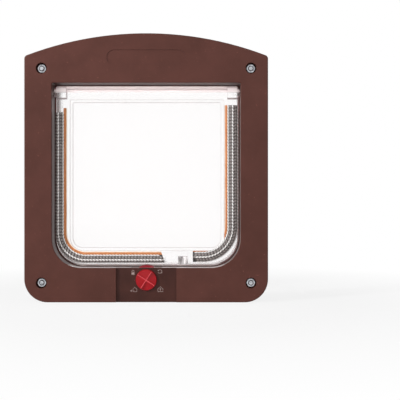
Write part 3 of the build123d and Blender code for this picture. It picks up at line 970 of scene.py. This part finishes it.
@dataclass
class FramePair:
    """The two brown frames, the cover behind the lock and the caps on the outside."""

    def dress_all(self, finishes: Finishes) -> None:
        """Give the mouldings their plastic.

        Args:
            finishes: The object's materials.
        """
        dress("interior_frame", finishes.frame)
        dress("exterior_frame", finishes.rear_frame)
        dress("lock_cover", finishes.rear_frame)
        for corner in CORNERS:
            dress(f"cap_{corner}", finishes.cap)


@dataclass
class ClearFlap:
    """The clear flap and the magnets."""

    def dress_all(self, finishes: Finishes) -> None:
        """Give the flap its clear plastic and the magnets their plate.

        Args:
            finishes: The object's materials.
        """
        dress("flap_panel", finishes.clear)
        for node in ("flap_magnet", "threshold_magnet"):
            dress(node, finishes.magnet)


@dataclass
class PileSeal:
    """The seal on one side of the flap: foam tape, two rows of slanted pile tufts and a stitched fin.

    Sizes are in millimetres, slants in degrees. Insets are measured inward from the strip's outer line.
    """

    # Widths across the strip, and its course
    side: Side
    corner_radius: float
    outer_row: float
    inner_row: float
    selvedge: float
    tape_margin: float
    overhang: float
    outer_selvedge: float = 0.0
    liner_margin: float = 0.9
    bottom_margin: float = 0.3
    fin_width: float = 1.8
    end_slant: float = 4.0
    arc_steps: int = 18
    run_steps: int = 24

    # Raised rim of the flap, which the strip keeps clear of
    rim_half_width: float = 80.4
    rim_bottom: float = 52.1
    rim_radius: float = 13.5

    # Tape and liner
    tape_inset: float = 0.1
    tape_lift: float = 0.1
    tape_round: float = 0.2
    tape_lap: float = 0.3
    tape_wave: float = 0.12
    liner_sink: float = 0.2
    liner_slope: float = 0.1
    liner_wave: float = 0.08

    # Backing and roots
    backing: float = 0.5
    backing_sink: float = 0.02
    root_height: float = 1.5
    root_shoulder: float = 0.7
    root_sink: float = 0.05
    root_lap: float = 0.1
    top_trim: float = 0.2

    # Tufts
    tuft_pitch: float = 3.27
    tuft_slant: float = 58.0
    tuft_width: float = 2.55
    tuft_rise: float = 0.6
    tuft_fill: float = 0.98
    tuft_wander: Span = (-5.0, 5.0)
    tuft_lift: Span = (-0.15, 0.2)
    tuft_spread: Span = (0.88, 1.1)

    # Fin and its beads
    fin_inset: float = 0.2
    fin_shoulder: float = 0.6
    fin_ridge: float = 0.25
    fin_trim: float = 0.3
    bead_slant: float = 26.0
    bead_length: float = 3.3
    bead_width: float = 1.5
    bead_rise: float = 0.45
    bead_sink: float = 0.45
    bead_wander: Span = (-4.0, 4.0)

    # Stitches
    stitch_slant: float = 16.0
    stitch_length: float = 3.9
    stitch_width: float = 1.5
    stitch_rise: float = 0.35

    # Loose and frayed fibres
    fibre_root: float = 0.11
    fibre_tip: float = 0.04
    loose_fibres: int = 90
    stray_pitch: float = 0.7
    stray_reach: float = 0.8
    stray_rise: float = 0.5
    stray_length: Span = (0.9, 1.8)
    frayed_fibres: int = 46
    fray_start: float = 0.8
    fray_sink: float = 0.2
    fray_depth: Span = (-0.25, 0.1)
    fray_height: Span = (-0.9, 0.7)
    fray_length: Span = (1.6, 4.6)
    fray_grey_share: float = 0.7
    seed: int = 7

    def __post_init__(self) -> None:
        """Read the strip's place from the frame's solids."""
        low, high = (corner / MM for corner in map(Vector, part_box(f"{self.side.label}_seal_pile")))
        sign = self.side.value
        self.outer = max(abs(low.x), abs(high.x)) + self.overhang
        self.bottom = low.z + self.bottom_margin
        self.top = high.z
        self.end = high.x - self.end_slant if sign < 0 else low.x
        self.fin_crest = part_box(f"{self.side.label}_seal_fin")[0][1] / MM
        tape_low, tape_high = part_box(f"{self.side.label}_seal_tape")
        self.tape_front = tape_low[1] / MM
        self.tape_back = tape_high[1] / MM
        self.tape_top = tape_high[2] / MM
        self.root = self.tape_front - self.backing
        self.fin_end = self.outer_row + self.fin_width
        self.pile_width = self.fin_end + self.inner_row
        self.width = self.pile_width + self.selvedge + self.tape_margin + self.liner_margin
        across = sign * (self.outer - self.corner_radius)
        self.centre = Vector((across, 0.0, self.bottom + self.corner_radius))
        self.chance = random.Random(self.seed + sign)

    def build(self, finishes: Finishes) -> None:
        """Build the tape, the pile and the fin.

        Args:
            finishes: The object's materials.
        """
        self.tape(finishes)
        self.pile(finishes)
        self.fin(finishes)

    def extend(
        self, shape: bmesh.types.BMesh, face: bmesh.types.BMFace, step: Vector
    ) -> bmesh.types.BMFace:
        """Carry a strip on by one step.

        Args:
            shape: The bmesh of the strip.
            face: Its end face.
            step: How far the end moves, in millimetres.

        Returns:
            The new end face.
        """
        moved = bmesh.ops.extrude_face_region(shape, geom=[face])["geom"]
        face = next(item for item in moved if isinstance(item, bmesh.types.BMFace))
        bmesh.ops.translate(shape, verts=face.verts, vec=step * MM)
        return face

    def sweep(self, shape: bmesh.types.BMesh, section: Section, top: float, wave: float = 0.0) -> None:
        """Sweep a section down the side, round the corner and along the bottom.

        Args:
            shape: The bmesh that the strip is added to.
            section: Inset and depth of each point of the section, in millimetres.
            top: Height of the upper end.
            wave: How far the strip wanders along the side.
        """
        sign = self.side.value
        face = shape.faces.new([
            shape.verts.new(Vector((sign * (self.outer - inset), depth, top)) * MM)
            for inset, depth in section
        ])
        drop = (self.centre.z - top) / self.run_steps
        for _ in range(self.run_steps):
            face = self.extend(shape, face, Vector((self.chance.uniform(-wave, wave), 0.0, drop)))
        for vert, (inset, _) in zip(self.ordered(face, section), section):
            vert.co.x = sign * (self.outer - inset) * MM
        turned = bmesh.ops.spin(
            shape,
            geom=[face],
            cent=self.centre * MM,
            axis=(0.0, float(sign), 0.0),
            angle=math.pi / 2,
            steps=self.arc_steps,
            use_merge=False,
            use_duplicate=False,
        )
        face = next(item for item in turned["geom_last"] if isinstance(item, bmesh.types.BMFace))
        along = (self.end - self.centre.x) / self.run_steps
        for _ in range(self.run_steps):
            face = self.extend(shape, face, Vector((along, 0.0, 0.0)))
        for vert in face.verts:
            share = 1.0 - (vert.co.z / MM - self.bottom) / self.width
            vert.co.x += share * self.end_slant * MM

    def ordered(self, face: bmesh.types.BMFace, section: Section) -> list[bmesh.types.BMVert]:
        """Corners of a swept face in the order of its section.

        Args:
            face: The swept face.
            section: Inset and depth of each point of its section.

        Returns:
            The corners.
        """
        sign = self.side.value
        corners = list(face.verts)
        result = []
        for inset, depth in section:
            target = Vector((sign * (self.outer - inset), depth)) * MM
            nearest = min(corners, key=lambda vert: (vert.co.xy - target).length)
            corners.remove(nearest)
            result.append(nearest)
        return result

    def clear_of_rim(self, shape: bmesh.types.BMesh) -> None:
        """Move the points that would stand in the flap's raised rim out to its edge.

        Args:
            shape: The bmesh of the strip.
        """
        sign = self.side.value
        middle = Vector((self.rim_half_width - self.rim_radius, self.rim_bottom + self.rim_radius))
        for vert in shape.verts:
            spot = Vector((sign * vert.co.x / MM, vert.co.z / MM))
            away = spot - middle
            in_corner = away.x > 0.0 and away.y < 0.0
            if in_corner and away.length < self.rim_radius:
                spot = middle + away.normalized() * self.rim_radius
            elif not in_corner and spot.x < self.rim_half_width and spot.y > self.rim_bottom:
                spot.x = max(spot.x, self.rim_half_width) if away.x > 0.0 else spot.x
                spot.y = min(spot.y, self.rim_bottom) if away.x <= 0.0 else spot.y
            vert.co.x, vert.co.z = sign * spot.x * MM, spot.y * MM

    def line(self, inset: float, pitch: float) -> list[tuple[Vector, float]]:
        """Points along the strip with the direction of the strip there.

        Args:
            inset: Distance of the line from the outer line of the strip.
            pitch: Distance between points.

        Returns:
            Pairs of a point in millimetres and an angle from X towards Z.
        """
        sign = self.side.value
        centre = self.centre
        radius = self.corner_radius - inset
        down = self.top - centre.z
        arc = radius * math.pi / 2
        slant = self.end_slant * (1.0 - inset / self.width)
        along = sign * (centre.x - self.end - slant)
        points = []
        for index in range(int((down + arc + along) / pitch)):
            gone = (index + 0.5) * pitch
            if gone < down:
                points.append((Vector((centre.x + sign * radius, 0.0, self.top - gone)), -math.pi / 2))
            elif gone < down + arc:
                turn = (gone - down) / radius
                spot = centre + radius * Vector((sign * math.cos(turn), 0.0, -math.sin(turn)))
                points.append((spot, math.atan2(-math.cos(turn), -sign * math.sin(turn))))
            else:
                spot = Vector((centre.x - sign * (gone - down - arc), 0.0, centre.z - radius))
                points.append((spot, 0.0 if sign < 0 else math.pi))
        return points

    def paint(self, made: dict[str, list[bmesh.types.BMVert]], index: int, smooth: bool) -> None:
        """Give the faces of a new bead or fibre their material.

        Args:
            made: What the bmesh operator returned.
            index: Material of the faces.
            smooth: Whether they are shaded smooth.
        """
        for face in {face for vert in made["verts"] for face in vert.link_faces}:
            face.material_index = index
            face.smooth = smooth

    def bead(self, shape: bmesh.types.BMesh, spot: Vector, angle: float, size: Vector, index: int) -> None:
        """Add one rounded yarn bead.

        Args:
            shape: The bmesh that it is added to.
            spot: Its middle, in millimetres.
            angle: Direction of its length, from X towards Z.
            size: Length, rise and width.
            index: Material of its faces.
        """
        place = (
            Matrix.Translation(spot * MM)
            @ Matrix.Rotation(-angle, 4, "Y")
            @ Matrix.Diagonal((size.x / 2 * MM, size.y * MM, size.z / 2 * MM, 1.0))
        )
        made = bmesh.ops.create_uvsphere(shape, u_segments=8, v_segments=5, radius=1.0, matrix=place)
        self.paint(made, index, smooth=True)

    def fibre(self, shape: bmesh.types.BMesh, root: Vector, lean: Vector, length: float, index: int) -> None:
        """Add one thin loose fibre.

        Args:
            shape: The bmesh that it is added to.
            root: Its root, in millimetres.
            lean: Direction that it points to.
            length: Its length in millimetres.
            index: Material of its faces.
        """
        turn = lean.to_track_quat("Z", "Y").to_matrix().to_4x4()
        made = bmesh.ops.create_cone(
            shape,
            cap_ends=True,
            segments=3,
            radius1=self.fibre_root * MM,
            radius2=self.fibre_tip * MM,
            depth=length * MM,
            matrix=Matrix.Translation((root + lean.normalized() * length / 2) * MM) @ turn,
        )
        self.paint(made, index, smooth=False)

    def tape(self, finishes: Finishes) -> None:
        """Lay the foam tape, full width under the pile and as a bare margin above it.

        Args:
            finishes: The object's materials.
        """
        shape = bmesh.new()
        edge = self.width - self.liner_margin
        covered = edge - self.tape_margin
        front, back = self.tape_front, self.tape_back
        under = [(self.tape_inset, back), (self.tape_inset, front), (covered, front), (covered, back)]
        margin = [
            (covered - self.tape_lap, back),
            (covered - self.tape_lap, front - self.tape_lift),
            (edge - self.tape_round, front - self.tape_lift),
            (edge, front + self.tape_lift),
            (edge, back),
        ]
        self.sweep(shape, under, self.top - self.top_trim)
        self.sweep(shape, margin, self.tape_top, self.tape_wave)
        taped = len(shape.faces)
        liner = [
            (edge - self.tape_round, back),
            (edge - self.tape_round, front + self.liner_sink),
            (self.width, front + self.liner_sink + self.liner_slope),
            (self.width, back),
        ]
        self.sweep(shape, liner, self.tape_top, self.liner_wave)
        shape.faces.ensure_lookup_table()
        for face in shape.faces[taped:]:
            face.material_index = SECOND_MATERIAL
        self.clear_of_rim(shape)
        name = f"{self.side.label}_seal_tape"
        materials = [finishes.tape, finishes.liner]
        piece(f"{self.side.label}_foam_tape", shape, materials, FLAP_BODY, [name])

    def pile(self, finishes: Finishes) -> None:
        """Make the woven backing, the dark roots and the two rows of slanted tufts.

        Args:
            finishes: The object's materials.
        """
        shape = bmesh.new()
        outer = (self.outer_selvedge, self.outer_row)
        inner = (self.fin_end, self.pile_width)
        woven = self.pile_width + self.selvedge
        back = self.tape_front - self.backing_sink
        self.sweep(shape, [(0.0, back), (0.0, self.root), (woven, self.root), (woven, back)], self.top)
        self.roots(shape, outer[0] + self.root_lap, outer[1] + self.root_lap)
        self.roots(shape, inner[0] - self.root_lap, inner[1])
        # The outer row takes the darker yarn as painted shade next to the tunnel wall.
        self.tufts(shape, outer, -1.0, PileYarn.SHADE)
        self.tufts(shape, inner, 1.0, PileYarn.WEAVE)
        for middle, reach in (
            (self.outer_row / 2, self.outer_row / 2),
            (self.fin_end + self.inner_row / 2, self.inner_row / 2),
        ):
            for spot, heading in self.chance.sample(self.line(middle, self.stray_pitch), self.loose_fibres):
                self.stray(shape, spot, heading, reach)
        self.stitches(shape, self.pile_width + self.selvedge / 2)
        if self.outer_selvedge:
            self.stitches(shape, self.outer_selvedge / 2)
        self.fray(shape)
        name = f"{self.side.label}_seal_pile"
        materials = [finishes.pile, finishes.weave, finishes.stitch, finishes.shade]
        piece(f"{self.side.label}_pile", shape, materials, FLAP_BODY, [name])

    def roots(self, shape: bmesh.types.BMesh, start: float, end: float) -> None:
        """Sweep the dark roots under one row of tufts.

        Args:
            shape: The bmesh that they are added to.
            start: Inset of the outer edge.
            end: Inset of the inner edge.
        """
        shoulder = self.root - self.root_height * self.root_shoulder
        crown = [
            (start, self.root + self.root_sink),
            (start, shoulder),
            ((start + end) / 2, self.root - self.root_height),
            (end, shoulder),
            (end, self.root + self.root_sink),
        ]
        self.sweep(shape, crown, self.top - self.top_trim)

    def tufts(self, shape: bmesh.types.BMesh, row: Span, slant: float, yarn: PileYarn) -> None:
        """Set one row of slanted tufts.

        Args:
            shape: The bmesh that they are added to.
            row: Insets of the row's outer and inner edge.
            slant: Sign of the slant.
            yarn: Yarn of the tufts.
        """
        start, end = row
        length = (end - start) / math.sin(math.radians(self.tuft_slant)) * self.tuft_fill
        for spot, heading in self.line((start + end) / 2, self.tuft_pitch):
            wander = self.chance.uniform(*self.tuft_wander)
            angle = heading + math.radians(slant * self.side.value * self.tuft_slant + wander)
            spot.y = self.root - self.root_height + self.tuft_rise * self.chance.uniform(*self.tuft_lift)
            width = self.tuft_width * self.chance.uniform(*self.tuft_spread)
            self.bead(shape, spot, angle, Vector((length, self.tuft_rise, width)), yarn)

    def stray(self, shape: bmesh.types.BMesh, spot: Vector, heading: float, reach: float) -> None:
        """Let one fibre stand out of a row of pile.

        Args:
            shape: The bmesh that it is added to.
            spot: Middle of the row, in millimetres.
            heading: Direction of the row.
            reach: Half the width of the row.
        """
        offset = self.chance.uniform(-reach, reach) * self.stray_reach
        across = heading + math.pi / 2
        start = spot + Vector((math.cos(across), 0.0, math.sin(across))) * offset
        start.y = self.root - self.root_height
        lean = Vector((self.chance.uniform(-1.0, 1.0), -self.stray_rise, self.chance.uniform(-1.0, 1.0)))
        self.fibre(shape, start, lean, self.chance.uniform(*self.stray_length), PileYarn.WEAVE)

    def stitches(self, shape: bmesh.types.BMesh, inset: float) -> None:
        """Add the pale stitches that hold an edge of the pile.

        Args:
            shape: The bmesh that they are added to.
            inset: Line of the stitches.
        """
        size = Vector((self.stitch_length, self.stitch_rise, self.stitch_width))
        for spot, heading in self.line(inset, self.tuft_pitch):
            spot.y = self.root
            angle = heading + math.radians(self.side.value * self.stitch_slant)
            self.bead(shape, spot, angle, size, PileYarn.STITCH)

    def fray(self, shape: bmesh.types.BMesh) -> None:
        """Fray the fibres at the lower end of the strip.

        Args:
            shape: The bmesh that they are added to.
        """
        away = -self.side.value
        count = self.frayed_fibres if self.side is Side.RIGHT else self.frayed_fibres // 2
        for _ in range(count):
            up = self.chance.random() * self.pile_width
            start = Vector((
                self.end + self.end_slant * (1.0 - up / self.width) - away * self.fray_start,
                self.root - self.chance.uniform(self.fray_sink, self.root_height),
                self.bottom + up,
            ))
            depth = self.chance.uniform(*self.fray_depth)
            lean = Vector((away, depth, self.chance.uniform(*self.fray_height)))
            length = self.chance.uniform(*self.fray_length)
            if start.z + min(0.0, lean.normalized().z) * length < self.bottom:
                lean.z = abs(lean.z)
            grey = self.chance.random() < self.fray_grey_share
            self.fibre(shape, start, lean, length, PileYarn.WEAVE if grey else PileYarn.STITCH)

    def fin(self, finishes: Finishes) -> None:
        """Make the film fin between the rows, bound by pale slanted stitches.

        Args:
            finishes: The object's materials.
        """
        shape = bmesh.new()
        start = self.outer_row + self.fin_inset
        end = self.fin_end - self.fin_inset
        middle = (start + end) / 2
        shoulder = self.fin_crest + self.fin_shoulder
        section = [
            (start, self.root),
            (start, shoulder),
            (middle, self.fin_crest + self.fin_ridge),
            (end, shoulder),
            (end, self.root),
        ]
        self.sweep(shape, section, self.top - self.fin_trim)
        size = Vector((self.bead_length, self.bead_rise, self.bead_width))
        for spot, heading in self.line(middle, self.tuft_pitch):
            spot.y = self.fin_crest + self.bead_sink
            turn = self.side.value * self.bead_slant + self.chance.uniform(*self.bead_wander)
            self.bead(shape, spot, heading + math.radians(turn), size, SECOND_MATERIAL)
        name = f"{self.side.label}_seal_fin"
        materials = [finishes.fin, finishes.stitch]
        piece(f"{self.side.label}_fin", shape, materials, FLAP_BODY, [name])


@dataclass
class Lock:
    """The turning lock and its pale icons. Places in millimetres from the frame's middle and sole."""

    panel_recess: float = 2.8
    stroke: float = 0.25
    lift: float = 0.06
    icon_scale: float = 0.88
    locked_place: Span = (-13.6, 30.4)
    both_ways_place: Span = (14.0, 31.6)
    out_only_place: Span = (-12.6, 13.0)
    in_only_place: Span = (14.5, 13.2)
    padlock_half_width: float = 1.7
    padlock_sole: float = -2.5
    padlock_row: float = 0.36
    padlock_rows: int = 8

    def build(self, finishes: Finishes) -> None:
        """Dress the lock and print its icons.

        Args:
            finishes: The object's materials.
        """
        dress("lock_dial", finishes.dial)
        for node in ("front_cam", "rear_cam"):
            dress(node, finishes.red)
        dress("cam_spacer", finishes.white)
        dress("lock_screw", finishes.zinc)
        for name, place, strokes in (
            ("icon_locked", self.locked_place, self.padlock()),
            ("icon_both_ways", self.both_ways_place, self.arrows()),
            ("icon_out_only", self.out_only_place, self.way_out()),
            ("icon_in_only", self.in_only_place, self.way_in()),
        ):
            self.print_icon(name, place, strokes, finishes.ink)

    def padlock(self) -> list[Section]:
        """Strokes of the closed padlock, across and up from its middle.

        Returns:
            The rows that fill its body, and its shackle.
        """
        side = self.padlock_half_width
        heights = [self.padlock_sole + self.padlock_row * row for row in range(self.padlock_rows)]
        shackle = [(-1.2, 0.6), (-1.2, 1.9), (-0.6, 2.7), (0.6, 2.7), (1.2, 1.9), (1.2, 0.6)]
        return [*([(-side, height), (side, height)] for height in heights), shackle]

    def arrows(self) -> list[Section]:
        """Strokes of the arrows that go there and back, across and up from their middle.

        Returns:
            Shaft and head of each arrow.
        """
        there = [(-2.2, 0.7), (-1.2, 1.8), (1.4, 1.8), (2.3, 0.9), (2.3, -0.3)]
        there_head = [(-1.0, 0.6), (-2.3, 0.6), (-2.3, 1.8)]
        back = [(2.2, -0.9), (1.2, -2.0), (-1.4, -2.0), (-2.3, -1.1)]
        back_head = [(1.0, -0.8), (2.3, -0.8), (2.3, -2.0)]
        return [there, there_head, back, back_head]

    def way_out(self) -> list[Section]:
        """Strokes of the house with an arrow out of it, across and up from their middle.

        Returns:
            The house, and the arrow's shaft and head.
        """
        house = [(-1.2, -2.5), (3.3, -2.5), (3.3, 0.6), (1.0, 2.8), (-1.2, 0.6), (-1.2, -0.4)]
        return [house, [(0.4, -1.5), (-3.8, -1.5)], [(-2.8, -0.5), (-4.0, -1.5), (-2.8, -2.5)]]

    def way_in(self) -> list[Section]:
        """Strokes of the house with an arrow in it, across and up from their middle.

        Returns:
            The house, and the arrow's shaft and head.
        """
        house = [(-2.9, -2.7), (2.9, -2.7), (2.9, 0.5), (0.0, 3.0), (-2.9, 0.5), (-2.9, -2.7)]
        return [house, [(0.0, -2.0), (0.0, 1.0)], [(-1.0, 0.0), (0.0, 1.2), (1.0, 0.0)]]

    def print_icon(
        self, name: str, place: Span, strokes: Iterable[Section], ink: bpy.types.Material
    ) -> None:
        """Print one icon as thin rounded strokes on the lock panel.

        Args:
            name: Name of the piece.
            place: Middle of the icon on the panel.
            strokes: Lines of the icon.
            ink: Material of the print.
        """
        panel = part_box("interior_frame")[0][1] / MM + self.panel_recess
        data = bpy.data.curves.new(name, "CURVE")
        data.dimensions = "3D"
        data.bevel_depth = self.stroke * MM
        data.bevel_resolution = 1
        data.use_fill_caps = True
        for stroke in strokes:
            spline = data.splines.new("POLY")
            spline.points.add(len(stroke) - 1)
            for point, (across, up) in zip(spline.points, stroke):
                spot = Vector(place) + Vector((across, up)) * self.icon_scale
                point.co = (spot.x * MM, 0.0, spot.y * MM, 1.0)
        line = bpy.data.objects.new(f"{name}_line", data)
        bpy.context.collection.objects.link(line)
        flat = bpy.data.meshes.new_from_object(line)
        bpy.data.objects.remove(line)
        shape = bmesh.new()
        shape.from_mesh(flat)
        bpy.data.meshes.remove(flat)
        squash = Matrix.Diagonal((1.0, self.lift / self.stroke, 1.0, 1.0))
        place_on_panel = Matrix.Translation((0.0, panel * MM, 0.0))
        bmesh.ops.transform(shape, matrix=place_on_panel @ squash, verts=shape.verts)
        piece(name, shape, [ink], FRAME_BODY)


@dataclass
class Fasteners:
    """Bolts with their threads, chamfered nuts and the screws of the lock cover. Sizes in millimetres."""

    thread_root: float = 2.45
    thread_crest: float = 2.63
    pitch: float = 0.8
    crest_start: float = 0.44
    crest_end: float = 0.56
    turn_steps: int = 20
    head_height: float = 3.4
    point: float = 0.9
    bore: float = 2.55
    bore_chamfer: float = 0.35
    nut_sides: int = 6
    nut_flats: float = 4.0
    nut_face: float = 4.15
    nut_corner: float = 4.62
    nut_chamfer: float = 0.3
    nut_steps: int = 48

    def build(self, finishes: Finishes) -> None:
        """Dress the bolts and screws, cut the threads and chamfer the nuts.

        Args:
            finishes: The object's materials.
        """
        for corner in CORNERS:
            dress(f"bolt_{corner}", finishes.zinc)
            self.thread(corner, finishes.zinc)
            self.nut(corner, finishes.zinc)
        for side in Side:
            dress(f"cover_screw_{side.label}", finishes.zinc)

    def thread(self, corner: str, metal: bpy.types.Material) -> None:
        """Wind the ridge of the thread round one shank.

        Args:
            corner: Corner of the frame that the bolt sits in.
            metal: Its plating.
        """
        low, high = (Vector(end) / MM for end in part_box(f"bolt_{corner}"))
        axis = Vector(((low.x + high.x) / 2, 0.0, (low.z + high.z) / 2))
        start, end = low.y + self.point, high.y - self.head_height - self.pitch
        turns = int((end - start) / self.pitch)
        profile = (
            (self.thread_root, start),
            (self.thread_crest, start + self.pitch * self.crest_start),
            (self.thread_crest, start + self.pitch * self.crest_end),
            (self.thread_root, start + self.pitch),
        )
        shape = bmesh.new()
        ridge = shape.faces.new([
            shape.verts.new((axis + Vector((radius, along, 0.0))) * MM) for radius, along in profile
        ])
        bmesh.ops.spin(
            shape,
            geom=[ridge],
            cent=axis * MM,
            axis=(0.0, 1.0, 0.0),
            dvec=(0.0, self.pitch / self.turn_steps * MM, 0.0),
            angle=math.tau * turns,
            steps=self.turn_steps * turns,
            use_merge=False,
            use_duplicate=False,
        )
        piece(f"thread_{corner}", shape, [metal], FRAME_BODY)

    def nut(self, corner: str, metal: bpy.types.Material) -> None:
        """Turn one nut with chamfered faces and cut its flats.

        Args:
            corner: Corner of the frame that the nut sits in.
            metal: Its plating.
        """
        low, high = (Vector(end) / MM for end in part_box(f"nut_{corner}"))
        axis = Vector(((low.x + high.x) / 2, 0.0, (low.z + high.z) / 2))
        profile = (
            (self.bore, low.y + self.bore_chamfer),
            (self.bore + self.bore_chamfer, low.y),
            (self.nut_face, low.y),
            (self.nut_corner, low.y + self.nut_chamfer),
            (self.nut_corner, high.y - self.nut_chamfer),
            (self.nut_face, high.y),
            (self.bore + self.bore_chamfer, high.y),
            (self.bore, high.y - self.bore_chamfer),
        )
        shape = bmesh.new()
        ring = [shape.verts.new((axis + Vector((radius, along, 0.0))) * MM) for radius, along in profile]
        runs = [shape.edges.new(pair) for pair in zip(ring, ring[1:] + ring[:1])]
        bmesh.ops.spin(
            shape,
            geom=ring + runs,
            cent=axis * MM,
            axis=(0.0, 1.0, 0.0),
            angle=math.tau,
            steps=self.nut_steps,
            use_merge=True,
            use_duplicate=False,
        )
        for flat in range(self.nut_sides):
            turn = math.tau * (flat + 0.5) / self.nut_sides
            away = Vector((math.cos(turn), 0.0, math.sin(turn)))
            cut = bmesh.ops.bisect_plane(
                shape,
                geom=[*shape.verts, *shape.edges, *shape.faces],
                plane_co=(axis + away * self.nut_flats) * MM,
                plane_no=away,
                clear_outer=True,
            )
            rim = [item for item in cut["geom_cut"] if isinstance(item, bmesh.types.BMEdge)]
            bmesh.ops.edgeloop_fill(shape, edges=rim)
        piece(f"chamfered_nut_{corner}", shape, [metal], FRAME_BODY, [f"nut_{corner}"])


def main() -> None:
    """Build, dress and light the cat flap."""
    logging.basicConfig(level=logging.INFO, format="%(message)s")
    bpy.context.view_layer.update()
    finishes = Finishes()
    Studio().build()
    FramePair().dress_all(finishes)
    ClearFlap().dress_all(finishes)
    left_seal = PileSeal(
        Side.LEFT,
        corner_radius=31.0,
        outer_row=2.1,
        inner_row=2.9,
        selvedge=1.5,
        tape_margin=2.4,
        overhang=0.7,
    )
    right_seal = PileSeal(
        Side.RIGHT,
        corner_radius=36.0,
        outer_row=4.2,
        inner_row=3.0,
        selvedge=1.6,
        tape_margin=2.1,
        overhang=1.1,
        outer_selvedge=0.6,
    )
    for part in (left_seal, right_seal, Lock(), Fasteners()):
        part.build(finishes)


if __name__ == "__main__":
    main()
